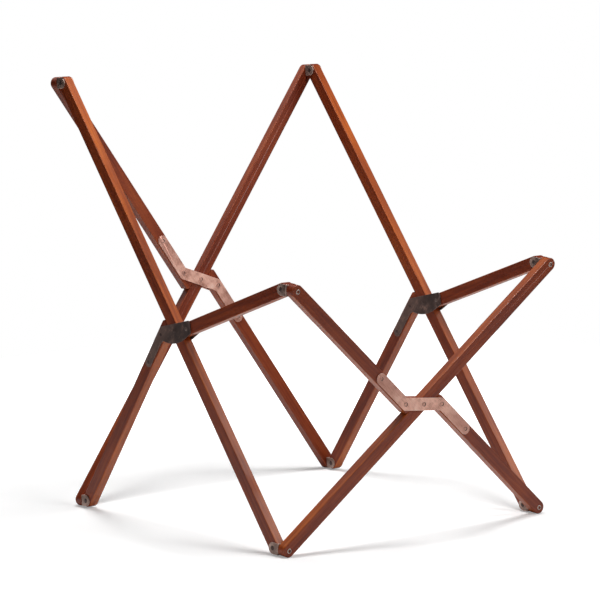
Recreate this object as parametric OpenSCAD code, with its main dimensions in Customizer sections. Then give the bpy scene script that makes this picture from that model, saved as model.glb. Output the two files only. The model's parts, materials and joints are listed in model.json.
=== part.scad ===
// Folding frame of a sling chair: four scissor crosses joined in a ring by
// eight swivelling corner brackets. Origin: middle of the floor footprint,
// +X to the right, +Y to the back, +Z up. The sling itself is not part of it.

/* [Frame] */
// Distance between the middle planes of the left and right crosses
spread = 735; // [725:1:745]
// Side bar: top pin to side pivot
side_upper = 663; // [660:1:666]
// Side bar: side pivot to front foot pin
side_lower = 546; // [543:1:549]
// Rear leg: foot pin to the level of the side pivot
leg_length = 539; // [536:1:542]
// Arm: hinge pin to front tip pin
arm_length = 344; // [341:1:347]
// Arm hinge: how far it lies beyond the side pivot, along the leg
arm_step = 32; // [30:1:34]
// Back cross: pin to pin length of each diagonal
back_diagonal = 1202; // [1196:1:1208]
// Front cross: pin to pin length of each diagonal
front_diagonal = 922; // [918:1:926]
// Sideways step between two sticks that lie side by side when folded
lane = 31; // [30.5:0.5:32]

/* [Sticks] */
// Width of every stick, across its flat face
stick_w = 29; // [26:0.5:29]
// Thickness of the sticks that are riveted to plates
stick_t = 22; // [20:0.5:23]
// How much thinner the sticks are that turn between plates
turn_gap = 0.4; // [0.3:0.05:0.6]
// Chamfer along the long edges
edge_cut = 1.6; // [1:0.1:2.5]
// Rounding of the far corner of a butted stick end
butt_r = 7; // [4:0.5:9]
// Gap between a butted end and the bar that stops it
butt_gap = 0.5; // [0.3:0.1:1]

/* [Plates] */
// Sheet thickness of all plates and brackets
sheet = 2.5; // [2:0.1:3]
// Half width of a cross plate along the sticks
arm_half = 12.5; // [11:0.5:13]
// Half width of a cross plate over the pivot
mid_half = 14; // [12:0.5:14]
// Inner rivet of a cross plate: distance along the stick from the pivot's level
near_rivet = 43.5; // [42:0.5:46]
// Outer rivet of a cross plate: distance along the stick from the inner rivet
far_rivet = 97; // [90:0.5:100]
// Elbow plate: half width of the leg strap
strap_half = 11; // [10:0.5:12]
// Elbow plate: upper leg rivet below the pivot's level
elbow_near = 38; // [36:0.5:42]
// Elbow plate: lower leg rivet below the pivot's level
elbow_far = 118; // [110:0.5:122]

/* [Brackets] */
// Half height of a corner bracket
ear_half = 12.5; // [11:0.5:13]
// Gap between a bracket's ear and the stick it holds
ear_gap = 0.3; // [0.2:0.05:0.4]
// Gap between a stick's round end and the bracket's web
end_gap = 0.8; // [0.6:0.1:1.2]
// Gap between the web and the stick outside it
web_gap = 0.2; // [0.15:0.05:0.4]
// Radius of the bracket's bends
bend_r = 2.5; // [2:0.25:3]

/* [Pins] */
// Radius of every pin and rivet shank
pin_r = 3; // [2.5:0.25:3.5]
// Radial clearance of a hole that turns on its pin
run_fit = 0.06; // [0.04:0.01:0.1]
// Radius of a rivet head
head_r = 5.4; // [4.5:0.1:5.5]
// Height of a rivet head
head_h = 1.2; // [0.8:0.1:1.4]
// Radius of the hole down the middle of a tubular rivet
tube_r = 2; // [1.5:0.25:2.25]
// Depth of that hole
tube_depth = 6; // [4:1:9]
// How far an opened pivot's shank stops short of its web
open_gap = 0.3; // [0.2:0.1:0.5]

/* [Hidden] */
$fn = 48;

wood = [0.45, 0.18, 0.09];
copper = [0.74, 0.54, 0.47];
bronze = [0.27, 0.23, 0.21];
steel = [0.52, 0.46, 0.43];
dark_steel = [0.30, 0.27, 0.26];

half_w = stick_w / 2;
turn_t = stick_t - turn_gap;
half_spread = spread / 2;
back_rise = sqrt(pow(back_diagonal, 2) - pow(spread, 2));
front_rise = sqrt(pow(front_diagonal, 2) - pow(spread, 2));

// Distances from a corner point, measured square to a front or back plane.
web_in = half_w + end_gap;
web_out = web_in + sheet;
face_in = web_out + web_gap;
face_mid = face_in + stick_t / 2;
face_out = face_in + stick_t;
ear_in = stick_t / 2 + ear_gap;
ear_out = ear_in + sheet;

// The side cross as a flat linkage. Points are [y, z].
function turned(p, a) = [p[0] * cos(a) - p[1] * sin(a), p[0] * sin(a) + p[1] * cos(a)];
function heading(p) = atan2(p[1], p[0]);
function circle_meet(p, rp, q, rq) =
    let (d = norm(q - p),
         along = (rp * rp - rq * rq + d * d) / (2 * d),
         across = sqrt(rp * rp - along * along),
         u = (q - p) / d)
    p + u * along + [-u[1], u[0]] * across;

// First with the rear foot pin at [0, 0] and the back top pin straight above it.
flat_top = [0, back_rise];
flat_pivot = circle_meet([0, 0], norm([leg_length, lane]), flat_top, side_upper);
flat_front = flat_pivot + (flat_pivot - flat_top) * side_lower / side_upper;
flat_leg_angle = heading(flat_pivot) - atan2(lane, leg_length);
flat_hinge = flat_pivot + turned([arm_step, lane], flat_leg_angle);
flat_tip = circle_meet(flat_front, front_rise, flat_hinge, arm_length);
flat_front_lean = heading(flat_tip - flat_front) - 90;

// Then tipped so that the lowest rims of the front and back feet share one floor.
function foot_height(lean) = face_out * sin(lean) + half_w * cos(lean);
function tip_angle(rise) = -180 - asin(rise / norm(flat_front)) - heading(flat_front);
function foot_step(tip) = foot_height(flat_front_lean + tip) - foot_height(-tip);
tip = tip_angle(foot_step(tip_angle(foot_step(tip_angle(0)))));
back_lean = -tip;
front_lean = flat_front_lean + tip;

// Front to back, the origin is in the middle of the outermost rivet heads.
function reach(lean) = (face_out + head_h) * cos(lean) + head_r * sin(lean);
top_y = turned(flat_top, tip)[0] + reach(back_lean);
tip_y = turned(flat_tip, tip)[0] - reach(front_lean);
place = [-(top_y + tip_y) / 2, foot_height(back_lean)];

back_foot = place;
back_top = place + turned(flat_top, tip);
side_pivot = place + turned(flat_pivot, tip);
front_foot = place + turned(flat_front, tip);
arm_hinge = place + turned(flat_hinge, tip);
front_tip = place + turned(flat_tip, tip);
leg_angle = flat_leg_angle + tip;
bar_angle = heading(back_top - front_foot);
arm_angle = heading(front_tip - arm_hinge);

// Half angles and leans of the split diagonals in their own planes.
back_cross_angle = asin(spread / back_diagonal);
front_cross_angle = asin(spread / front_diagonal);

// Places: a side plane has local [x, y] = world [y, z]; a front or back plane
// has its origin on the foot pins, local y up the plane and local z to the front.
module in_left_plane() translate([-half_spread, 0, 0]) rotate([90, 0, 90]) children();
module in_back_plane() translate([0, back_foot[0], back_foot[1]]) rotate([90 - back_lean, 0, 0]) children();
module in_front_plane() translate([0, front_foot[0], front_foot[1]]) rotate([90 + front_lean, 0, 0]) children();
module at(p, a = 0) translate([p[0], p[1], 0]) rotate([0, 0, a]) children();
module mirrored_x() mirror([1, 0, 0]) children();

// Wood ---------------------------------------------------------------------
// Chamfered section that the long edges of a stick are trimmed to.
module trim(from, length, t) {
    h = half_w;
    e = t / 2;
    translate([from, 0, 0]) rotate([90, 0, 90]) linear_extrude(length)
        polygon([[-h + edge_cut, -e], [h - edge_cut, -e], [h, -e + edge_cut], [h, e - edge_cut],
                 [h - edge_cut, e], [-h + edge_cut, e], [-h, e - edge_cut], [-h, -e + edge_cut]]);
}
module bore(p, r, t) translate([p[0], p[1], 0]) cylinder(r = r, h = 2 * t, center = true);

// Straight stick with round ends, from a pin at 0 to a pin at length.
module straight_stick(length, t) intersection() {
    linear_extrude(t, center = true) {
        circle(half_w);
        translate([length, 0]) circle(half_w);
        translate([0, -half_w]) square([length, stick_w]);
    }
    trim(-half_w, length + stick_w, t);
}

// Stick with one round end at 0 whose other end butts against a bar. The bar
// turns about [level, lane] and crosses at angle slope to the stick.
module butted_stick(level, slope, t) {
    h = half_w;
    reach_out = (half_w + butt_gap) / sin(slope);
    // Where the bar's near edge meets the two long edges of the stick.
    near_u = level - reach_out - (lane - h) / tan(slope);
    far_u = level - reach_out - (lane + h) / tan(slope);
    toward_near = [near_u - far_u, stick_w] / norm([near_u - far_u, stick_w]);
    corner = acos(-toward_near[0]);
    back_off = butt_r / tan(corner / 2);
    intersection() {
        linear_extrude(t, center = true) {
            circle(h);
            polygon([[0, -h], [far_u - back_off, -h], [far_u, -h] + toward_near * back_off,
                     [near_u, h], [0, h]]);
            translate([far_u - back_off, butt_r - h]) circle(butt_r);
        }
        trim(-h, level + stick_w, t);
    }
}

// Side bar: straight from the front foot to the back top.
module side_bar() color(wood) in_left_plane() at(front_foot, bar_angle) difference() {
    straight_stick(side_lower + side_upper, turn_t);
    bore([0, 0], pin_r + run_fit, stick_t);
    bore([side_lower, 0], pin_r + run_fit, stick_t);
    bore([side_lower + side_upper, 0], pin_r + run_fit, stick_t);
}

// Rear leg: its top end is the stop that the side bar leans on.
module rear_leg() color(wood) in_left_plane() at(back_foot, leg_angle) difference() {
    butted_stick(leg_length, 180 - leg_angle + bar_angle, stick_t);
    bore([0, 0], pin_r + run_fit, stick_t);
    bore([leg_length - elbow_far, 0], pin_r, stick_t);
    bore([leg_length - elbow_near, 0], pin_r, stick_t);
}

// Arm: its heel behind the hinge bears on the side bar when the chair is open.
module arm() {
    pivot = turned(side_pivot - arm_hinge, -arm_angle);
    slope = bar_angle - arm_angle;
    square_on = [-sin(slope), cos(slope)];
    reach_in = abs(pivot * square_on) - half_w - butt_gap;
    foot = square_on * reach_in * (pivot * square_on > 0 ? 1 : -1);
    low = [(foot * foot - foot[1] * half_w) / foot[0], half_w];
    color(wood) in_left_plane() at(arm_hinge, arm_angle) difference() {
        union() {
            straight_stick(arm_length, turn_t);
            linear_extrude(turn_t - 2 * edge_cut, center = true)
                polygon([[0, half_w], low, foot, [-half_w * 0.8, -2], [0, -2]]);
        }
        bore([0, 0], pin_r + run_fit, stick_t);
        bore([arm_length, 0], pin_r + run_fit, stick_t);
    }
}

// Plates -------------------------------------------------------------------
// Cross plate: a strap over each half of a split diagonal, stepped at the
// pivot. Local x runs along the sticks, and the pivot is at [0, 0].
module cross_plate() {
    far = near_rivet + far_rivet;
    linear_extrude(sheet) difference() {
        union() {
            rotate([0, 0, atan2(lane, near_rivet)])
                translate([-norm([near_rivet, lane]), -mid_half])
                    square([2 * norm([near_rivet, lane]), 2 * mid_half]);
            for (s = [-1, 1]) {
                translate([s * near_rivet, s * lane]) circle(mid_half);
                translate([s * far, s * lane]) circle(arm_half);
                translate([s > 0 ? near_rivet : -far, s * lane - arm_half])
                    square([far_rivet, 2 * arm_half]);
            }
        }
        circle(pin_r);
        for (s = [-1, 1], u = [near_rivet, far]) translate([s * u, s * lane]) circle(pin_r);
    }
}

// Elbow plate: a strap down the leg, widening over the side bar to the arm
// hinge. Local x runs up the leg, and the side pivot is at [0, 0].
module elbow_plate() {
    hinge = [arm_step, lane];
    belly_r = 95;
    belly = [46.1, -48.6];
    linear_extrude(sheet) difference() {
        union() {
            translate([-elbow_far, -lane]) circle(strap_half);
            translate([-elbow_far, -lane - strap_half])
                square([elbow_far - elbow_near + 14, 2 * strap_half]);
            polygon([[-24, -lane - strap_half], [48, 22.5], [50.6, 26.6], [50.6, 31.2],
                     [47.6, 36.6], [38.5, 44.6], [34.5, 46.7], [30.5, 46.9], [23, 44],
                     [-44, -17], [-54, -20]]);
            intersection() {
                translate(belly) circle(belly_r, $fn = 120);
                polygon([[23, 44], [-22.5, 27.2], [-44, -17], [0, 0]]);
            }
        }
        circle(pin_r);
        translate(hinge) circle(pin_r);
        for (u = [elbow_near, elbow_far]) translate([-u, -lane]) circle(pin_r);
    }
}

// Fasteners ----------------------------------------------------------------
// Tubular rivet along z: head at the top, a hole down its middle.
module tube_rivet(bottom, top) difference() {
    union() {
        translate([0, 0, bottom]) cylinder(r = pin_r, h = top - bottom);
        translate([0, 0, top]) rotate_extrude()
            polygon([[0, 0], [head_r, 0], [head_r, head_h * 0.4], [head_r - head_h * 0.6, head_h],
                     [0, head_h]]);
    }
    translate([0, 0, top + head_h - tube_depth]) cylinder(r = tube_r, h = tube_depth + 1);
}

// Solid rivet along z with a low dome at each end.
module dome_rivet(bottom, top, r, h) {
    translate([0, 0, bottom]) cylinder(r = pin_r, h = top - bottom);
    translate([0, 0, top]) rotate_extrude() dome(r, h);
    translate([0, 0, bottom]) mirror([0, 0, 1]) rotate_extrude() dome(r, h);
}
module dome(r, h) intersection() {
    translate([0, h - (r * r + h * h) / (2 * h)]) circle((r * r + h * h) / (2 * h), $fn = 96);
    square([r, h]);
}

plate_out = stick_t / 2 + sheet;

// Elbow parts of the left side --------------------------------------------
module in_elbow() in_left_plane() at(side_pivot, leg_angle) children();
module elbow_outer() color(bronze) in_elbow() translate([0, 0, -plate_out]) elbow_plate();
module elbow_inner() color(bronze) in_elbow() translate([0, 0, stick_t / 2]) elbow_plate();
module elbow_rivets() color(dark_steel) in_elbow() for (u = [elbow_near, elbow_far])
    translate([-u, -lane, 0]) dome_rivet(-plate_out, plate_out, 4.2, 0.9);
module pivot_pin() color(dark_steel) in_elbow() dome_rivet(-plate_out, plate_out, 3.8, 0.5);
module arm_pin() color(steel) in_elbow() translate([arm_step, lane, 0])
    dome_rivet(-plate_out, plate_out, 4.6, 1.1);

// Corner brackets ----------------------------------------------------------
// Local x along the side pin, y up the plane, z square to it, away from the side.
module corner_bracket() color(steel) difference() {
    intersection() {
        rotate([90, 0, 0]) linear_extrude(2 * ear_half, center = true) difference() {
            union() {
                translate([-ear_out, -ear_half]) square([2 * ear_out, ear_half + web_out - bend_r]);
                translate([-ear_out + bend_r, 0]) square([2 * (ear_out - bend_r), web_out]);
                for (s = [-1, 1]) translate([s * (ear_out - bend_r), web_out - bend_r]) circle(bend_r);
            }
            translate([-ear_in, -2 * ear_half]) square([2 * ear_in, 2 * ear_half + web_in]);
        }
        rotate([90, 0, 90]) linear_extrude(2 * ear_out + 2, center = true) {
            circle(ear_half);
            translate([-ear_half, 0]) square([2 * ear_half, web_out]);
        }
    }
    rotate([0, 90, 0]) cylinder(r = pin_r, h = 3 * ear_out, center = true);
    cylinder(r = pin_r + run_fit, h = 2 * web_out);
}
module side_pin() color(dark_steel) rotate([0, 90, 0]) dome_rivet(-ear_out, ear_out, head_r, head_h);

// Puts a corner piece at a place of the front or back plane: u along x, v up.
module at_front(u, v) in_front_plane() translate([u, v, 0]) children();
module at_back(u, v) in_back_plane() translate([u, v, 0]) mirror([0, 0, 1]) children();

// Web pin of a closed corner ends flush inside the web; that of an opened
// corner stops short of it.
module web_pin(t, closed) color(steel)
    tube_rivet(closed ? web_in : web_out + open_gap, face_mid + t / 2);

// Crosses ------------------------------------------------------------------
// Straight diagonal from the left foot to the right top.
module cross_bar(diagonal, rise) color(wood)
    translate([-half_spread, 0, face_mid]) rotate([0, 0, heading([spread, rise])]) difference() {
        straight_stick(diagonal, turn_t);
        for (u = [0, diagonal]) bore([u, 0], pin_r, stick_t);
        bore([diagonal / 2, 0], pin_r + run_fit, stick_t);
    }

// Half of the split diagonal, from its corner at [0, 0] towards the pivot.
function half_level(diagonal) = sqrt(pow(diagonal / 2, 2) - lane * lane);
function half_turn(diagonal) = asin(2 * lane / diagonal);
module split_half(diagonal, cross_angle) color(wood) difference() {
    butted_stick(half_level(diagonal), 180 - 2 * cross_angle + half_turn(diagonal), stick_t);
    bore([0, 0], pin_r, stick_t);
    bore([half_level(diagonal) - near_rivet, 0], pin_r, stick_t);
    bore([half_level(diagonal) - near_rivet - far_rivet, 0], pin_r, stick_t);
}
function split_angle(diagonal, cross_angle) = cross_angle - 90 - half_turn(diagonal);
module upper_half(diagonal, rise, cross_angle)
    translate([-half_spread, rise, face_mid]) rotate([0, 0, split_angle(diagonal, cross_angle)])
        split_half(diagonal, cross_angle);
module lower_half(diagonal, rise, cross_angle)
    translate([0, rise / 2, 0]) rotate([0, 0, 180]) translate([0, -rise / 2, 0])
        upper_half(diagonal, rise, cross_angle);

// What is fixed to the split diagonal at its pivot.
module on_split(diagonal, rise, cross_angle)
    translate([0, rise / 2, face_mid]) rotate([0, 0, split_angle(diagonal, cross_angle)]) children();
module clinched_rivet() color(dark_steel) {
    tube_rivet(-plate_out, plate_out);
    translate([0, 0, -plate_out]) mirror([0, 0, 1]) rotate_extrude() dome(head_r, head_h * 0.8);
}
module plate_rivets() for (s = [-1, 1], u = [near_rivet, near_rivet + far_rivet])
    translate([s * u, s * lane, 0]) clinched_rivet();

module back_split() in_back_plane() mirror([0, 0, 1])
    on_split(back_diagonal, back_rise, back_cross_angle) children();
module front_split() in_front_plane()
    on_split(front_diagonal, front_rise, front_cross_angle) children();

side_bar();  // left_side_bar
rear_leg();  // left_rear_leg
arm();  // left_arm
mirrored_x() side_bar();  // right_side_bar
mirrored_x() rear_leg();  // right_rear_leg
mirrored_x() arm();  // right_arm
in_back_plane() mirror([0, 0, 1]) cross_bar(back_diagonal, back_rise);  // back_bar
in_back_plane() mirror([0, 0, 1]) upper_half(back_diagonal, back_rise, back_cross_angle);  // back_upper_stick
in_back_plane() mirror([0, 0, 1]) lower_half(back_diagonal, back_rise, back_cross_angle);  // back_lower_stick
in_front_plane() cross_bar(front_diagonal, front_rise);  // front_bar
in_front_plane() upper_half(front_diagonal, front_rise, front_cross_angle);  // front_upper_stick
in_front_plane() lower_half(front_diagonal, front_rise, front_cross_angle);  // front_lower_stick
elbow_outer();  // left_elbow_plate_outer
elbow_inner();  // left_elbow_plate_inner
mirrored_x() elbow_outer();  // right_elbow_plate_outer
mirrored_x() elbow_inner();  // right_elbow_plate_inner
back_split() color(copper) translate([0, 0, stick_t / 2]) cross_plate();  // back_cross_plate_outer
back_split() color(copper) translate([0, 0, -plate_out]) cross_plate();  // back_cross_plate_inner
front_split() color(copper) translate([0, 0, stick_t / 2]) cross_plate();  // front_cross_plate_outer
front_split() color(copper) translate([0, 0, -plate_out]) cross_plate();  // front_cross_plate_inner
elbow_rivets();  // left_elbow_rivets
mirrored_x() elbow_rivets();  // right_elbow_rivets
back_split() mirror([0, 0, 1]) plate_rivets();  // back_plate_rivets
front_split() plate_rivets();  // front_plate_rivets
pivot_pin();  // left_pivot_pin
mirrored_x() pivot_pin();  // right_pivot_pin
back_split() mirror([0, 0, 1]) clinched_rivet();  // back_pivot_pin
front_split() clinched_rivet();  // front_pivot_pin
arm_pin();  // left_arm_pin
mirrored_x() arm_pin();  // right_arm_pin

// Corner brackets with their side pins, then the web pins of the eight corners.
at_back(-half_spread, back_rise) corner_bracket();  // bracket_back_left_top
at_back(half_spread, back_rise) corner_bracket();  // bracket_back_right_top
at_back(-half_spread, 0) corner_bracket();  // bracket_back_left_foot
at_back(half_spread, 0) corner_bracket();  // bracket_back_right_foot
at_front(-half_spread, front_rise) corner_bracket();  // bracket_front_left_top
at_front(half_spread, front_rise) corner_bracket();  // bracket_front_right_top
at_front(-half_spread, 0) corner_bracket();  // bracket_front_left_foot
at_front(half_spread, 0) corner_bracket();  // bracket_front_right_foot
at_back(-half_spread, back_rise) side_pin();  // side_pin_back_left_top
at_back(half_spread, back_rise) side_pin();  // side_pin_back_right_top
at_back(-half_spread, 0) side_pin();  // side_pin_back_left_foot
at_back(half_spread, 0) side_pin();  // side_pin_back_right_foot
at_front(-half_spread, front_rise) side_pin();  // side_pin_front_left_top
at_front(half_spread, front_rise) side_pin();  // side_pin_front_right_top
at_front(-half_spread, 0) side_pin();  // side_pin_front_left_foot
at_front(half_spread, 0) side_pin();  // side_pin_front_right_foot
at_back(-half_spread, back_rise) web_pin(stick_t, false);  // web_pin_back_left_top
at_back(half_spread, back_rise) web_pin(turn_t, false);  // web_pin_back_right_top
at_back(-half_spread, 0) web_pin(turn_t, true);  // web_pin_back_left_foot
at_back(half_spread, 0) web_pin(stick_t, true);  // web_pin_back_right_foot
at_front(-half_spread, front_rise) web_pin(stick_t, true);  // web_pin_front_left_top
at_front(half_spread, front_rise) web_pin(turn_t, false);  // web_pin_front_right_top
at_front(-half_spread, 0) web_pin(turn_t, false);  // web_pin_front_left_foot
at_front(half_spread, 0) web_pin(stick_t, false);  // web_pin_front_right_foot
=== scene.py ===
"""Looks of a folding sling-chair frame: lacquered mahogany sticks, copper-coloured cross
plates, dark elbow plates, bent corner brackets and their rivets. Everything is in metres."""
import json
import math
from collections import namedtuple

import bpy
import numpy as np
from mathutils import Matrix, Vector


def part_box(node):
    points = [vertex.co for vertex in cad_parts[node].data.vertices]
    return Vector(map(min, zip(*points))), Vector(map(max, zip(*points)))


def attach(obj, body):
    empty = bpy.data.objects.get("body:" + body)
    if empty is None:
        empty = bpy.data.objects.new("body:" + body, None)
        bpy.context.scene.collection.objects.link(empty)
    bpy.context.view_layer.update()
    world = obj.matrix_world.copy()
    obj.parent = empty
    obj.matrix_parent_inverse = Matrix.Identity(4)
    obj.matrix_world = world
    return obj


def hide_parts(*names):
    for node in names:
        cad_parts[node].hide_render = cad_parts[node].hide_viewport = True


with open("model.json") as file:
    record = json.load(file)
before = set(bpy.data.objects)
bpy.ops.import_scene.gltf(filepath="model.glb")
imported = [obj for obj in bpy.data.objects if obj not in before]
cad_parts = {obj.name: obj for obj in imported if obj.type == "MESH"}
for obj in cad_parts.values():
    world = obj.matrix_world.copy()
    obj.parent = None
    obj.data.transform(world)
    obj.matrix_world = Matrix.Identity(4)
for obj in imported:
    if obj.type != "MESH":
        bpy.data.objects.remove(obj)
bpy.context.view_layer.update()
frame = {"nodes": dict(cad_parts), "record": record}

# ---------------------------------------------------------------- sizes of the stock
STICK_WIDTH = 0.029
STICK_THICKNESS = 0.022
TURNING_THICKNESS = 0.0216   # sticks that turn between plates or ears
SHEET = 0.0025
LANE = 0.031                 # sideways step between sticks that fold side by side
WEB_INSIDE = 0.0153          # corner point to the bracket web's inner face
FACE_MIDDLE = 0.029          # corner point to the middle of the stick outside the web
EAR_INSIDE = 0.0113          # middle of the side stick to an ear's inner face
EAR_HALF = 0.0125            # half height of a bracket, and the radius of its ears
BUTT_GAP = 0.0005            # between a butted stick end and its bar
WEB_GAP = 0.0003             # between a bracket's web and a web pin that stops short of it
WEB_SINK = 0.0002            # how far a web pin that enters the web stops before its inner face
PLATE_FACE = STICK_THICKNESS / 2 + SHEET
NEAR_RIVET = 0.0435          # cross plate: rivet beside the pivot, along the stick
FAR_RIVET = 0.1405           # cross plate: rivet at the strap's end, along the stick
HINGE_STEP = 0.032           # arm hinge beyond the pivot, along the leg
ELBOW_FAR = 0.118            # elbow plate: low leg rivet below the pivot
SHANK = 0.003                # radius of the pins and rivets under their heads
HEAD = 0.0054                # radius of the side pins' and tubular rivets' heads

STICK_EASE = 0.0017          # rounded long edges of the sticks
SHEET_EASE = 0.0005          # rubbed edges of the plates
EASE_STEPS = 4
CORNER_STEPS = 10
TURN_STEPS = 40
DOME_STEPS = 9
SHARP = 35                   # degrees above which an edge of bent or turned metal stays sharp
GRAIN_SHIFT = 3.1            # how far apart the sticks' stretches of grain lie

HALF = STICK_WIDTH / 2
# Corners whose web pin enters the bracket's web. At the others it stops short of the web.
HELD_CORNERS = ("back_left_foot", "back_right_foot", "front_left_top")
across_x = np.array([1.0, 0.0, 0.0])


# ---------------------------------------------------------------- places from the frame
def middle(node):
    """Middle of a node's box, as an array."""
    low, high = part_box(node)
    return (np.array(low) + np.array(high)) / 2


def unit(vector):
    return vector / np.linalg.norm(vector)


body_of = {n: b for b, members in frame["record"]["behaviour"]["bodies"].items() for n in members}
slot_of = {s["node"]: s["material_slot"] for s in frame["record"]["subparts"]}
corner = {n[len("side_pin_"):]: middle(n) for n in frame["nodes"] if n.startswith("side_pin_")}


class Bench:
    """A flat working plane: an origin, a direction along the work, one across it and, square to
    both, the direction that the work's face looks in."""

    def __init__(self, origin, along, across):
        self.origin = np.asarray(origin, float)
        self.axes = np.array([along, across, np.cross(along, across)])

    def place(self, points):
        return self.origin + points @ self.axes

    def turn(self, normals):
        return normals @ self.axes

    def moved(self, x, y, z):
        return Bench(self.place(np.array([x, y, z])), self.axes[0], self.axes[1])

    def flat(self, direction):
        """A world direction as (along, across) on this bench."""
        return self.axes[:2] @ direction


def side_bench(start, direction):
    """Bench in a side plane: along runs in the given direction and the face looks to the right."""
    along = unit(direction)
    return Bench(start, along, np.cross(across_x, along))


# ---------------------------------------------------------------- outlines
def rounded_outline(corners, radii):
    """Closed outline, anticlockwise, with an arc at each corner. At a corner where the path turns
    by an angle f, the arc of radius r starts r tan(f/2) before the corner, and its outward normal
    swings evenly from the incoming edge's normal to the outgoing edge's normal."""
    corners = np.asarray(corners, float)
    ahead = np.roll(corners, -1, 0) - corners
    ahead /= np.linalg.norm(ahead, axis=1)[:, None]
    points = []
    normals = []
    for here, before, after, radius in zip(corners, np.roll(ahead, 1, 0), ahead, radii):
        bend = math.atan2(before[0] * after[1] - before[1] * after[0], before @ after)
        bulge = 1 if bend > 0 else -1
        first = np.array([before[1], -before[0]])
        start = here - before * radius * math.tan(abs(bend) / 2)
        centre = start - bulge * radius * first
        swing = math.atan2(first[1], first[0]) + np.linspace(0, bend, CORNER_STEPS + 1)
        normal = np.stack([np.cos(swing), np.sin(swing)], 1)
        points.append(centre + bulge * radius * normal)
        normals.append(normal)
    return np.concatenate(points), np.concatenate(normals)


def straight_outline(length):
    """Stick with full-round ends, whose end pins are at 0 and at length."""
    far = length + HALF
    return rounded_outline([(-HALF, -HALF), (far, -HALF), (far, HALF), (-HALF, HALF)], [HALF] * 4)


def butted_outline(level, bar):
    """Stick with a full-round end about 0 and an end cut along a bar. The bar turns about
    (level, LANE) and runs in direction bar, so its near edge is at
    x = level + (y - LANE) bar_x / bar_y - (half width + gap) / |bar_y|."""
    def edge(y):
        return level + (y - LANE) * bar[0] / bar[1] - (HALF + BUTT_GAP) / abs(bar[1])
    return rounded_outline([(-HALF, -HALF), (edge(-HALF), -HALF), (edge(HALF), HALF), (-HALF, HALF)],
                           [HALF, 0.007, 0.002, HALF])


def arm_outline(length, pivot, bar):
    """Arm with a full-round front end. Its heel, below the hinge at 0, lies along the near edge of
    the side bar, which passes through pivot in direction bar. The corner over the hinge is drawn in
    and has a wide arc, where the others are full-round or nearly sharp."""
    square = np.array([-bar[1], bar[0]])
    square *= np.sign(square @ pivot)
    foot = square * (square @ pivot - HALF - BUTT_GAP)
    heel = np.array([(foot @ foot - foot[1] * HALF) / foot[0], HALF])
    return rounded_outline([(-0.86 * HALF, -HALF), (length + HALF, -HALF), (length + HALF, HALF),
                            heel, foot], [0.011, HALF, HALF, 0.002, 0.0015])


def cross_plate_outline():
    """Stepped strap: an arm along each stick, and a wider middle that runs through the pivot."""
    arm_half = 0.0125
    middle_half = 0.014
    run = unit(np.array([NEAR_RIVET, LANE]))
    square = np.array([run[1], -run[0]])

    def meet(y):
        return [(middle_half - square[1] * y) / square[0], y]
    end = FAR_RIVET + arm_half
    half = [meet(-LANE - arm_half), meet(LANE - arm_half), (end, LANE - arm_half), (end, LANE + arm_half)]
    return rounded_outline(half + [(-x, -y) for x, y in half],
                           [0.006, 0.004, arm_half, arm_half] * 2)


def elbow_outline():
    """Strap down the leg that widens over the side bar to a blunt nose round the arm hinge, with
    a long convex belly underneath. Along runs up the leg, and the pivot is at 0."""
    strap_half = 0.011
    low = -ELBOW_FAR - strap_half
    strap = [(low, -LANE - strap_half), (-0.024, -LANE - strap_half)]
    nose = [(0.0525, 0.0265), (0.0495, 0.0355), (0.034, 0.0485), (0.0225, 0.0440)]
    belly = [(-0.0225, 0.0272), (-0.0440, -0.0165)]
    back = [(-0.0520, -LANE + strap_half), (low, -LANE + strap_half)]
    return rounded_outline(strap + nose + belly + back,
                           [strap_half, 0.008, 0.005, 0.008, 0.008, 0.003, 0.095, 0.004, 0.006,
                            strap_half])


# ---------------------------------------------------------------- surfaces
# A closed surface: its points, blocks of faces, a normal for each point or None, each point's place
# in the stock, and how rubbed each point is.
Surface = namedtuple("Surface", "points faces normals grain rub")


def slab(outline, thickness, ease, bench, shift):
    """Flat board or sheet with quarter-round edges. Row by row from the bottom face to the top one,
    the outline is drawn in by ease (1 - sin a) and lies at half the thickness less ease (1 - cos a),
    and the surface normal turns from the face to the edge by the angle a. The grain is shifted
    along a stick, and through a sheet. The share of rubbed wear and painted edge highlight is 1
    halfway round an eased edge, and 0 on a face."""
    points, outward = outline
    angle = np.linspace(0, math.pi / 2, EASE_STEPS + 1)
    inset = ease * (1 - np.sin(angle))
    height = thickness / 2 - ease * (1 - np.cos(angle))
    inset = np.concatenate([inset, inset[::-1]])
    level = np.concatenate([-height, height[::-1]])
    lean = np.concatenate([np.sin(angle), np.sin(angle)[::-1]])
    rise = np.concatenate([-np.cos(angle), np.cos(angle)[::-1]])
    rows = len(level)
    count = len(points)
    grid = np.empty((rows, count, 3))
    grid[..., :2] = points - outward * inset[:, None, None]
    grid[..., 2] = level[:, None]
    normal = np.empty_like(grid)
    normal[..., :2] = outward * lean[:, None, None]
    normal[..., 2] = rise[:, None]
    grid = grid.reshape(-1, 3)
    grain = grid + ([shift, 0, 0] if thickness > SHEET else [0, 0, shift])
    rub = np.repeat(np.abs(2 * lean * rise), count)
    return Surface(bench.place(grid), capped_faces(rows, count), bench.turn(normal.reshape(-1, 3)), grain,
                   rub)


def capped_faces(rows, count):
    """Quads of a grid of rows, each of which closes on itself, and a cap over each end row."""
    rim = np.arange(count)[None]
    return [wrapped_quads(rows, count), rim[:, ::-1], rim + (rows - 1) * count]


def wrapped_quads(rows, count):
    """Quads of a grid of rows, each of which closes on itself."""
    row, col = np.meshgrid(np.arange(rows - 1), np.arange(count), indexing="ij")
    after = (col + 1) % count
    quads = np.stack([row * count + col, row * count + after, (row + 1) * count + after,
                      (row + 1) * count + col], -1)
    return quads.reshape(-1, 4)


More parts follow.
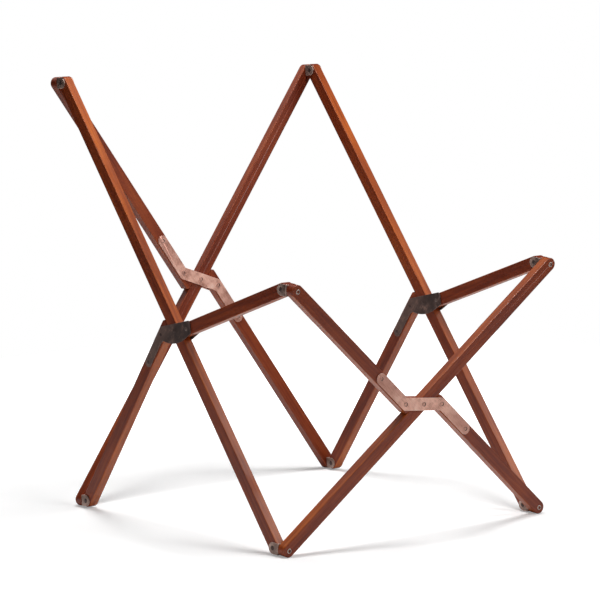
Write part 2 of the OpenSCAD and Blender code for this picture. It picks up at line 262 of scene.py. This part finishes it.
def turned(profile, bench, hollow=False):
    """Profile of (radius, height) turned round the bench's face direction, from a centre point at
    the bottom to a centre point at the top. Point by point, the value for wear and painted light of a
    hollow head is its share q of the full radius, for the painted shade in its hole. A solid head's
    is 0.64 + 0.11 q to the 6th power, which lies between hole and rim."""
    profile = np.asarray(profile, float)
    ring = profile[1:-1]
    angle = np.arange(TURN_STEPS) * 2 * math.pi / TURN_STEPS
    grid = np.empty((len(ring), TURN_STEPS, 3))
    grid[..., 0] = ring[:, :1] * np.cos(angle)
    grid[..., 1] = ring[:, :1] * np.sin(angle)
    grid[..., 2] = ring[:, 1:]
    points = np.concatenate([grid.reshape(-1, 3), [[0, 0, profile[0, 1]], [0, 0, profile[-1, 1]]]])
    here = np.arange(TURN_STEPS)
    after = (here + 1) % TURN_STEPS
    top = (len(ring) - 1) * TURN_STEPS
    low_end = np.full(TURN_STEPS, len(points) - 2)
    ends = np.stack([low_end, after, here, low_end + 1, top + here, top + after], 1)
    faces = [wrapped_quads(len(ring), TURN_STEPS), ends.reshape(-1, 3)]
    reach = np.concatenate([np.repeat(ring[:, 0] / ring[:, 0].max(), TURN_STEPS), [0, 0]])
    rub = reach if hollow else 0.64 + 0.11 * reach ** 6
    return Surface(bench.place(points), faces, None, points, rub)


def bent_bracket(bench):
    """U bracket: a strip with round ends, bent over at two places. Stations follow the middle of
    the sheet from one ear's tip, round the first bend, along the web and back to the other tip. At a
    distance d beyond the pin, the strip's half width is the root of (radius squared - d squared).
    Across the strip, each of the four long edges is a quarter circle of the rubbed edge's radius."""
    bend = 0.0021
    ear = EAR_INSIDE + SHEET / 2
    web = WEB_INSIDE + SHEET / 2
    tip_steps = 12
    tip = np.linspace(math.radians(5), math.pi / 2, tip_steps)
    swing = np.linspace(0, math.pi / 2, 7)
    x = np.concatenate([np.full(tip_steps + 1, -ear), -ear + bend * (1 - np.cos(swing)), [-ear / 2, 0]])
    z = np.concatenate([-EAR_HALF * np.cos(tip), [(web - bend) / 2], web - bend * (1 - np.sin(swing)),
                        [web, web]])
    half = np.concatenate([EAR_HALF * np.sin(tip), np.full(len(x) - tip_steps, EAR_HALF)])
    x = np.concatenate([x, -x[-2::-1]])
    z = np.concatenate([z, z[-2::-1]])
    half = np.concatenate([half, half[-2::-1]])
    along = np.stack([np.gradient(x), np.gradient(z)], 1)
    along[[tip_steps, tip_steps + 1]] = (0, 1)
    along[[-tip_steps - 1, -tip_steps - 2]] = (0, -1)
    along /= np.linalg.norm(along, axis=1)[:, None]
    out = np.stack([-along[:, 1], along[:, 0]], 1)
    quarter = np.linspace(0, math.pi / 2, EASE_STEPS)
    ease_y = np.concatenate([np.cos(quarter), -np.sin(quarter), -np.cos(quarter), np.sin(quarter)])
    ease_through = np.concatenate([np.sin(quarter), np.cos(quarter), -np.sin(quarter), -np.cos(quarter)])
    side = np.repeat([1, -1, -1, 1], EASE_STEPS)
    face = np.repeat([1, 1, -1, -1], EASE_STEPS)
    ease = np.minimum(SHEET_EASE, half * 0.5)[:, None]
    y = side * (half[:, None] - ease) + ease * ease_y
    through = face * (SHEET / 2 - SHEET_EASE) + SHEET_EASE * ease_through
    grid = np.empty((len(x), len(side), 3))
    grid[..., 0] = x[:, None] + out[:, :1] * through
    grid[..., 1] = y
    grid[..., 2] = z[:, None] + out[:, 1:] * through
    points = grid.reshape(-1, 3)
    rub = np.tile(np.abs(2 * ease_y * ease_through) ** 0.5, len(x))
    return Surface(bench.place(points), capped_faces(len(x), len(side)), None, points, rub)


# ---------------------------------------------------------------- rivets and pins
def dome(radius, height, base):
    """Half profile of a low dome of a sphere, from its rim to its crown."""
    ball = (radius ** 2 + height ** 2) / (2 * height)
    angle = np.linspace(math.asin(radius / ball), 0, DOME_STEPS)
    return np.stack([ball * np.sin(angle), base + ball * (np.cos(angle) - 1) + height], 1)


def domed_pin(bottom, top, radius, height):
    """Riveted pin with a low dome at each end."""
    rim = 0.0003
    lower = dome(radius, height, 0)[::-1] * (1, -1) + (0, bottom)
    upper = dome(radius, height - rim, top + rim)
    return np.concatenate([lower, [(SHANK, bottom), (SHANK, top), (radius, top)], upper])


def tubular_rivet(bottom, top, bore, clinched):
    """Rivet with a rolled rim about an open hole at the top. At the bottom it has a low dome, or is
    cut straight where it isn't clinched. The rim rises by roll times the 0.7th power of sin a, as
    the angle a goes from the outer edge over to the hole."""
    depth = 0.006
    roll = 0.0011
    clinch = 0.0008
    angle = np.linspace(0, math.pi, 11)
    middle_radius = (HEAD + bore) / 2
    swell = (HEAD - bore) / 2
    rim = np.stack([middle_radius + swell * np.cos(angle), top + roll * np.sin(angle) ** 0.7], 1)
    low = dome(HEAD, clinch, 0)[::-1] * (1, -1) + (0, bottom) if clinched else [(0, bottom)]
    return np.concatenate([low, [(SHANK, bottom), (SHANK, top), (HEAD, top)], rim[1:-1],
                           [(bore, top), (bore * 0.96, top - depth), (0, top - depth)]])


# ---------------------------------------------------------------- making objects
def point_values(mesh, name, kind, key, values):
    """Attribute of a mesh with a value for each point."""
    attribute = mesh.attributes.new(name, kind, "POINT")
    attribute.data.foreach_set(key, values.astype(np.float32).ravel())


def build(node, *shapes, narrow_face_light=0.0):
    """One mesh from one or more closed surfaces. It stands for the CAD node, rides on its body and
    has its finish. Surfaces that bring no normals are smooth up to a sharp edge."""
    points = np.concatenate([shape.points for shape in shapes])
    faces = []
    base = 0
    for shape in shapes:
        for block in shape.faces:
            faces += (block + base).tolist()
        base += len(shape.points)
    mesh = bpy.data.meshes.new("finished_" + node)
    mesh.from_pydata(points.tolist(), [], faces)
    grain = np.concatenate([shape.grain for shape in shapes])
    point_values(mesh, "grain_place", "FLOAT_VECTOR", "vector", grain)
    point_values(mesh, "wear_and_painted_light", "FLOAT", "value", np.concatenate([shape.rub for shape in shapes]))
    # Share of painted light on a stick's narrow faces.
    point_values(mesh, "narrow_face_light", "FLOAT", "value", np.full(len(points), narrow_face_light))
    mesh.shade_smooth()
    if shapes[0].normals is None:
        mesh.set_sharp_from_angle(angle=math.radians(SHARP))
    else:
        mesh.normals_split_custom_set_from_vertices(shapes[0].normals.tolist())
    mesh.materials.append(finishes[slot_of[node]])
    piece = bpy.data.objects.new("finished_" + node, mesh)
    bpy.context.scene.collection.objects.link(piece)
    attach(piece, body_of[node])
    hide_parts(node)


# ---------------------------------------------------------------- finishes
def tone(red, green, blue):
    """A paint chip's red, green and blue, 0 to 255, as the linear colour that a shader takes."""
    chip = np.array([red, green, blue]) / 255
    linear = np.where(chip <= 0.04045, chip / 12.92, ((chip + 0.055) / 1.055) ** 2.4)
    return (*linear.tolist(), 1.0)


class Finish:
    """A material and short ways to add nodes to it."""

    def __init__(self, name):
        self.material = bpy.data.materials.new(name)
        self.material.use_nodes = True
        self.tree = self.material.node_tree
        self.shader = self.tree.nodes["Principled BSDF"]

    def node(self, kind, inputs=None, **settings):
        made = self.tree.nodes.new(kind)
        for key, value in settings.items():
            setattr(made, key, value)
        for key, value in (inputs or {}).items():
            self.feed(made.inputs[key], value)
        return made

    def feed(self, socket, value):
        if isinstance(value, bpy.types.NodeSocket):
            self.tree.links.new(value, socket)
        else:
            socket.default_value = value

    def place(self):
        """The stock's own coordinates: along, across and through."""
        return self.node("ShaderNodeAttribute", attribute_name="grain_place").outputs["Vector"]

    def wear_and_painted_light(self):
        """How rubbed the piece is, which also sets its painted edge highlight: 1 on a rounded edge and 0
        on
            a flat face, and on a rivet's head the share of its radius, which sets the painted shade of a
            hole."""
        return self.node("ShaderNodeAttribute", attribute_name="wear_and_painted_light").outputs["Fac"]

    def scaled(self, vector, factors):
        return self.node("ShaderNodeVectorMath", {0: vector, 1: factors}, operation="MULTIPLY").outputs[0]

    def noise(self, vector, scale=1.0, detail=3.0, roughness=0.55, distortion=0.0):
        made = self.node("ShaderNodeTexNoise", {"Vector": vector, "Scale": scale, "Detail": detail,
                                                "Roughness": roughness, "Distortion": distortion})
        return made.outputs["Fac"]

    def ramp(self, value, *stops):
        """Colour ramp through (position, colour) stops."""
        made = self.node("ShaderNodeValToRGB", {"Fac": value})
        ramp = made.color_ramp
        while len(ramp.elements) < len(stops):
            ramp.elements.new(0.5)
        for element, (position, colour) in zip(ramp.elements, stops):
            element.position = position
            element.color = colour
        return made.outputs["Color"]

    def span(self, value, low, high, new_low=0.0, new_high=1.0):
        """Value from low to high made to run smoothly from new_low to new_high."""
        return self.node("ShaderNodeMapRange", {"Value": value, "From Min": low, "From Max": high,
                                                "To Min": new_low, "To Max": new_high},
                         interpolation_type="SMOOTHSTEP").outputs["Result"]

    def maths(self, operation, first, second=0.0):
        return self.node("ShaderNodeMath", {0: first, 1: second}, operation=operation).outputs[0]

    def blended(self, factor, first, second, blend="MIX"):
        """Two colours blended. A mix node's colour sockets are inputs 6 and 7 and output 2."""
        made = self.node("ShaderNodeMix", data_type="RGBA", blend_type=blend)
        self.feed(made.inputs["Factor"], factor)
        self.feed(made.inputs[6], first)
        self.feed(made.inputs[7], second)
        return made.outputs[2]

    def bump(self, height, strength, distance):
        return self.node("ShaderNodeBump", {"Height": height, "Strength": strength,
                                            "Distance": distance}).outputs["Normal"]

    def set(self, **values):
        """Values of the shader's own sockets, by their names with _ for a space."""
        for key, value in values.items():
            self.feed(self.shader.inputs[key.replace("_", " ").title().replace("Ior", "IOR")], value)
        return self.material


def mahogany():
    """Red-brown stained mahogany under satin lacquer: broad tone, ribbon stripe, fine streaks and
    short pores along the stick, narrow faces painted paler as painted light, and edges made a
    little lighter as rubbed wear and painted edge highlight."""
    f = Finish("stained_mahogany")
    place = f.place()
    broad = f.noise(f.scaled(place, (4.0, 30.0, 30.0)), detail=2.0)
    ribbon = f.noise(f.scaled(place, (7.0, 170.0, 170.0)), detail=3.0, distortion=0.3)
    streak = f.noise(f.scaled(place, (22.0, 900.0, 900.0)), detail=4.0, roughness=0.65)
    pore = f.noise(f.scaled(place, (260.0, 5200.0, 5200.0)), detail=1.0)
    figure = f.maths("ADD", f.maths("MULTIPLY", broad, 0.38), f.maths("MULTIPLY", ribbon, 0.34))
    figure = f.maths("ADD", figure, f.maths("MULTIPLY", streak, 0.28))
    colour = f.ramp(figure, (0.34, tone(90, 29, 12)), (0.46, tone(117, 44, 18)),
                    (0.55, tone(137, 57, 23)), (0.68, tone(160, 75, 31)))
    # Painted light: the narrow faces are made paler and more orange, standing in for the light they
    # catch, by the stick's share.
    across = f.maths("ABSOLUTE", f.node("ShaderNodeSeparateXYZ", {0: place}).outputs["Y"])
    narrow = f.span(across, HALF - STICK_EASE, HALF - 0.0001)
    share = f.node("ShaderNodeAttribute", attribute_name="narrow_face_light").outputs["Fac"]
    colour = f.blended(f.maths("MULTIPLY", narrow, share), colour,
                       f.blended(1.0, colour, (1.62, 2.1, 1.15, 1), "MULTIPLY"))
    pores = f.span(pore, 0.66, 0.74)
    colour = f.blended(f.maths("MULTIPLY", pores, 0.55), colour, tone(52, 18, 12))
    # Edges lighter in patches: rubbed wear, and also a painted edge highlight.
    patches = f.span(f.noise(f.scaled(place, (35.0, 120.0, 120.0))), 0.42, 0.66)
    wear_and_highlight = f.maths("MULTIPLY", f.wear_and_painted_light(), patches)
    colour = f.blended(f.maths("MULTIPLY", wear_and_highlight, 0.5), colour, tone(176, 96, 58))
    dust = f.noise(f.scaled(place, (60.0, 90.0, 90.0)), detail=5.0)
    rough = f.span(dust, 0.3, 0.7, 0.38, 0.5)
    relief = f.maths("ADD", f.maths("MULTIPLY", streak, 0.35), f.maths("MULTIPLY", pores, -0.6))
    normal = f.bump(relief, 0.25, 0.0002)
    return f.set(base_color=colour, roughness=rough, normal=normal, coat_weight=0.22, coat_roughness=0.14,
                 specular_ior_level=0.28)


def sheet_metal(name, dark, base, light, roughness, metallic, rub=0.6, strap=0.0, dull_ends=0.0):
    """Aged sheet: cloudy patina over brushing that runs along the strap, and bright edges that are
    rubbed wear and a painted edge highlight. A plate may have a paler strap on one side, or duller
    ends."""
    f = Finish(name)
    place = f.place()
    cloud = f.noise(f.scaled(place, (38.0, 38.0, 38.0)), detail=5.0, roughness=0.6)
    line = f.noise(f.scaled(place, (60.0, 1900.0, 1900.0)), detail=3.0)
    speck = f.noise(f.scaled(place, (700.0, 700.0, 700.0)), detail=2.0)
    mixed = f.maths("ADD", f.maths("MULTIPLY", cloud, 0.6), f.maths("MULTIPLY", line, 0.4))
    colour = f.ramp(mixed, (0.36, dark), (0.52, base), (0.66, light))
    colour = f.blended(f.maths("MULTIPLY", f.span(speck, 0.6, 0.75), 0.35), colour, dark)
    if strap:
        across = f.node("ShaderNodeSeparateXYZ", {0: place}).outputs["Y"]
        colour = f.blended(f.span(across, -0.034, 0.004, strap, 0.0), colour, light)
    if dull_ends:
        reach = f.maths("ABSOLUTE", f.node("ShaderNodeSeparateXYZ", {0: place}).outputs["X"])
        colour = f.blended(f.span(reach, 0.045, 0.11, 0.0, dull_ends), colour, dark)
    # Bright edges: rubbed wear, and also a painted edge highlight.
    wear_and_highlight = f.maths("MULTIPLY", f.wear_and_painted_light(), f.span(cloud, 0.3, 0.6, 0.35, 1.0))
    colour = f.blended(f.maths("MULTIPLY", wear_and_highlight, rub), colour, light)
    rough = f.maths("ADD", f.span(cloud, 0.3, 0.7, roughness - 0.08, roughness + 0.1),
                    f.maths("MULTIPLY", line, 0.06))
    relief = f.maths("ADD", f.maths("MULTIPLY", line, 0.5), f.maths("MULTIPLY", speck, 0.3))
    normal = f.bump(relief, 0.2, 0.00012)
    return f.set(base_color=colour, roughness=rough, normal=normal, metallic=metallic)


def riveted(name, rim, middle, hole, roughness, metallic):
    """Rivet metal: a rubbed rim, and a grimy middle or a hole painted dark as painted shade, by the
    share of the head's radius that the point lies at."""
    f = Finish(name)
    place = f.place()
    cloud = f.noise(f.scaled(place, (300.0, 300.0, 300.0)), detail=4.0)
    wobble = f.maths("ADD", f.wear_and_painted_light(), f.span(cloud, 0.3, 0.7, -0.05, 0.05))
    # The hole colour is painted shade down the bore of a hollow rivet.
    colour = f.ramp(wobble, (0.0, hole), (0.58, hole), (0.63, middle), (0.72, middle), (0.82, rim))
    colour = f.blended(f.span(cloud, 0.5, 0.7, 0.0, 0.45), colour, middle)
    rough = f.span(cloud, 0.3, 0.7, roughness - 0.06, roughness + 0.1)
    return f.set(base_color=colour, roughness=rough, normal=f.bump(cloud, 0.2, 0.0002), metallic=metallic)


finishes = {
    "stained_mahogany": mahogany(),
    "aged_copper": sheet_metal("aged_copper", tone(178, 122, 106), tone(240, 184, 164),
                               tone(252, 214, 197), 0.36, 0.35, dull_ends=0.6),
    "dark_bronze": sheet_metal("dark_bronze", tone(58, 45, 42), tone(80, 63, 58),
                               tone(150, 118, 107), 0.42, 0.3, strap=0.35),
    "worn_steel": sheet_metal("worn_steel", tone(100, 79, 71), tone(160, 133, 122),
                              tone(244, 210, 195), 0.36, 0.5, rub=0.85),
    "pin_steel": riveted("pin_steel", tone(214, 198, 188), tone(112, 94, 87), tone(24, 17, 15),
                         0.36, 0.4),
    "dark_rivet": riveted("dark_rivet", tone(206, 156, 140), tone(78, 60, 55), tone(30, 21, 19),
                          0.42, 0.3),
}


# ---------------------------------------------------------------- side crosses
def stick(node, outline, thickness, bench, number, narrow_face_light=1.0):
    """A stick with its own stretch of grain. The share given is how much its narrow faces are painted
    lighter than its broad ones, as painted light for the lamps they face."""
    build(node, slab(outline, thickness, STICK_EASE, bench, GRAIN_SHIFT * number), narrow_face_light=narrow_face_light)


def plate_pair(name, outline, bench, outward, number):
    """The outer and the inner plate of a joint, one on each face of the sticks."""
    for face, sign in (("outer", outward), ("inner", -outward)):
        plate = bench.moved(0, 0, sign * (PLATE_FACE - SHEET / 2))
        build(f"{name}_{face}", slab(outline, SHEET, SHEET_EASE, plate, number + sign))


def side_cross(side, number):
    """One side: the bar from front foot to back tip, the leg cut along it, and the hinged arm."""
    back_top = corner[f"back_{side}_top"]
    front_top = corner[f"front_{side}_top"]
    back_foot = corner[f"back_{side}_foot"]
    front_foot = corner[f"front_{side}_foot"]
    pivot = middle(f"{side}_pivot_pin")
    hinge = middle(f"{side}_arm_pin")
    bar = back_top - front_foot
    stick(f"{side}_side_bar", straight_outline(np.linalg.norm(bar)), TURNING_THICKNESS,
          side_bench(front_foot, bar), number)
    leg = side_bench(back_foot, middle(f"{side}_elbow_rivets") - back_foot)
    level = leg.flat(pivot - back_foot)[0]
    outline = butted_outline(level, leg.flat(unit(bar)))
    stick(f"{side}_rear_leg", outline, STICK_THICKNESS, leg, number + 1)
    arm = side_bench(hinge, front_top - hinge)
    outline = arm_outline(np.linalg.norm(front_top - hinge), arm.flat(pivot - hinge), arm.flat(unit(bar)))
    stick(f"{side}_arm", outline, TURNING_THICKNESS, arm, number + 2)

    elbow = leg.moved(level, LANE, 0)
    plate_pair(f"{side}_elbow_plate", elbow_outline(), elbow, -1 if side == "left" else 1, number)
    between_rivets = leg.flat(middle(f"{side}_elbow_rivets") - back_foot)[0] - level
    rivet = domed_pin(-PLATE_FACE, PLATE_FACE, radius=0.0042, height=0.0009)
    spots = (-ELBOW_FAR, 2 * between_rivets + ELBOW_FAR)
    build(f"{side}_elbow_rivets", *[turned(rivet, elbow.moved(x, -LANE, 0)) for x in spots])
    pin = domed_pin(-PLATE_FACE, PLATE_FACE, radius=0.0038, height=0.0005)
    build(f"{side}_pivot_pin", turned(pin, elbow))
    pin = domed_pin(-PLATE_FACE, PLATE_FACE, radius=0.0046, height=0.0011)
    build(f"{side}_arm_pin", turned(pin, elbow.moved(HINGE_STEP, LANE, 0)))


# ---------------------------------------------------------------- front and back crosses
NARROW_FACE_LIGHT = {"back": 0.1, "front": 0.75}   # how much painted light the narrow faces of these sticks get


def end_cross(end, number):
    """The front or the back cross. On its bench, along is to the right, across is up the plane and
    the face looks to the front, so the sticks lie behind the back plane and before the front one."""
    left_foot = corner[f"{end}_left_foot"]
    left_top = corner[f"{end}_left_top"]
    right_foot = corner[f"{end}_right_foot"]
    right_top = corner[f"{end}_right_top"]
    outward = -1 if end == "back" else 1
    face_light_share = NARROW_FACE_LIGHT[end]
    upright = unit(left_top - left_foot)
    plane = Bench(left_foot, across_x, upright).moved(0, 0, outward * FACE_MIDDLE)
    spread = right_foot[0] - left_foot[0]
    rise = np.linalg.norm(left_top - left_foot)
    diagonal = math.hypot(spread, rise)
    bar_run = np.array([spread, rise]) / diagonal

    def on_plane(x, y, direction):
        start = plane.place(np.array([x, y, 0]))
        along = direction[0] * plane.axes[0] + direction[1] * plane.axes[1]
        across = -direction[1] * plane.axes[0] + direction[0] * plane.axes[1]
        return Bench(start, along, across)

    stick(f"{end}_bar", straight_outline(diagonal), TURNING_THICKNESS, on_plane(0, 0, bar_run), number,
          face_light_share)
    turn = -math.atan2(rise, spread) - math.asin(2 * LANE / diagonal)
    split = np.array([math.cos(turn), math.sin(turn)])
    level = math.sqrt((diagonal / 2) ** 2 - LANE ** 2)
    upper = on_plane(0, rise, split)
    lower = on_plane(spread, 0, -split)
    outline = butted_outline(level, upper.flat(unit(right_top - left_foot)))
    stick(f"{end}_upper_stick", outline, STICK_THICKNESS, upper, number + 1, face_light_share)
    stick(f"{end}_lower_stick", outline, STICK_THICKNESS, lower, number + 2, face_light_share)

    pivot = upper.moved(level, LANE, 0)
    plate_pair(f"{end}_cross_plate", cross_plate_outline(), pivot, outward, number)
    rivet = tubular_rivet(-PLATE_FACE, PLATE_FACE, 0.0036, clinched=True)
    spots = [(s * u, s * LANE) for s in (-1, 1) for u in (NEAR_RIVET, FAR_RIVET)]
    build(f"{end}_plate_rivets", *[turned(rivet, pivot.moved(x, y, 0), hollow=True) for x, y in spots])
    build(f"{end}_pivot_pin", turned(rivet, pivot, hollow=True))

    for name, thickness in (("left_foot", TURNING_THICKNESS), ("right_top", TURNING_THICKNESS),
                            ("left_top", STICK_THICKNESS), ("right_foot", STICK_THICKNESS)):
        corner_pieces(f"{end}_{name}", outward, upright, thickness)


def corner_pieces(name, outward, upright, thickness):
    """Bracket, side pin and web pin of one corner. On the bench, the face looks out of the frame."""
    bench = Bench(corner[name], outward * across_x, upright)
    build(f"bracket_{name}", bent_bracket(bench))
    ear = EAR_INSIDE + SHEET
    pin = domed_pin(-ear, ear, radius=HEAD, height=0.0012)
    build(f"side_pin_{name}", turned(pin, Bench(corner[name], upright, bench.axes[2])))
    top = FACE_MIDDLE + thickness / 2
    bottom = WEB_INSIDE + (WEB_SINK if name in HELD_CORNERS else SHEET + WEB_GAP)
    pin = tubular_rivet(bottom, top, 0.0029, clinched=False)
    build(f"web_pin_{name}", turned(pin, bench, hollow=True))


side_cross("left", 1)
side_cross("right", 4)
end_cross("back", 7)
end_cross("front", 10)


# ---------------------------------------------------------------- studio
FLOOR_GLOW = 0.28            # light the floor gives off near the frame
FADE = (0.5, 1.7)            # where the floor turns to plain white
LAMPS = (                    # name, place, width and watts
    ("overhead", (0.0, 0.0, 3.0), 1.0, 66),
    ("front_right", (2.2, -2.2, 2.4), 2.0, 62),
    ("behind", (0.0, 2.6, 2.4), 2.0, 8),
    ("left_low", (-2.8, -0.8, 0.8), 1.6, 14),
)
SURROUND = 0.01              # light the surround gives off, where it isn't seen directly
FLOOR_HALF = 2.3
MID_FRAME = Vector((0, 0, 0.45))


def studio():
    """White floor and surround, lit by soft lamps. The floor fades into the surround beyond the
    lamps' reach, so that no edge shows."""
    square = [(-1, -1, 0), (1, -1, 0), (1, 1, 0), (-1, 1, 0)]
    floor_mesh = bpy.data.meshes.new("studio_floor")
    floor_mesh.from_pydata([Vector(point) * FLOOR_HALF for point in square], [], [(0, 1, 2, 3)])
    floor = bpy.data.objects.new("studio_floor", floor_mesh)
    bpy.context.scene.collection.objects.link(floor)
    paper = Finish("pale_floor")
    seen = paper.node("ShaderNodeLightPath").outputs["Is Camera Ray"]
    away = paper.node("ShaderNodeVectorMath", {0: paper.node("ShaderNodeTexCoord").outputs["Object"]},
                      operation="LENGTH").outputs["Value"]
    glow = paper.maths("MULTIPLY", paper.span(away, FADE[0], FADE[1], FLOOR_GLOW, 1.0), seen)
    floor_mesh.materials.append(paper.set(base_color=(0.86, 0.86, 0.86, 1), roughness=0.9,
                                          specular_ior_level=0.2, emission_color=(1, 1, 1, 1),
                                          emission_strength=glow))
    paper.material.cycles.emission_sampling = "NONE"
    for name, place, size, watts in LAMPS:
        soft_light(name, Vector(place), size, watts)
    world = bpy.data.worlds.new("white_surround")
    world.use_nodes = True
    nodes = world.node_tree.nodes
    seen = nodes.new("ShaderNodeLightPath").outputs["Is Camera Ray"]
    strength = nodes.new("ShaderNodeMapRange")
    strength.inputs["To Min"].default_value = SURROUND
    strength.inputs["To Max"].default_value = 1.0
    world.node_tree.links.new(seen, strength.inputs["Value"])
    world.node_tree.links.new(strength.outputs["Result"], nodes["Background"].inputs["Strength"])
    nodes["Background"].inputs["Color"].default_value = (1, 1, 1, 1)
    bpy.context.scene.world = world
    bpy.context.scene.view_settings.view_transform = "Standard"


def soft_light(name, place, size, watts):
    """Square lamp that faces the middle of the frame."""
    lamp = bpy.data.lights.new(name, "AREA")
    lamp.size = size
    lamp.energy = watts
    light = bpy.data.objects.new(name, lamp)
    light.location = place
    light.visible_camera = False
    light.rotation_euler = (MID_FRAME - place).to_track_quat("-Z", "Y").to_euler()
    bpy.context.scene.collection.objects.link(light)


def camera():
    """Long lens from the front left, a little above the middle of the frame."""
    azimuth = math.radians(-40.0)
    elevation = math.radians(7.61)
    distance = 7.352
    back = Vector((math.sin(azimuth) * math.cos(elevation), -math.cos(azimuth) * math.cos(elevation),
                   math.sin(elevation)))
    right = Vector((math.cos(azimuth), math.sin(azimuth), 0))
    up = back.cross(right)
    aim_right = -0.0017
    aim_up = 0.028
    aim = MID_FRAME + right * aim_right + up * aim_up
    data = bpy.data.cameras.new("studio_camera")
    data.lens = 194.84
    data.sensor_width = 36.0
    data.clip_end = 100.0
    seen = bpy.data.objects.new("studio_camera", data)
    turn = Matrix((right, up, back)).transposed().to_4x4()
    seen.matrix_world = Matrix.Translation(aim + back * distance) @ turn
    bpy.context.scene.collection.objects.link(seen)
    bpy.context.scene.camera = seen


studio()
camera()
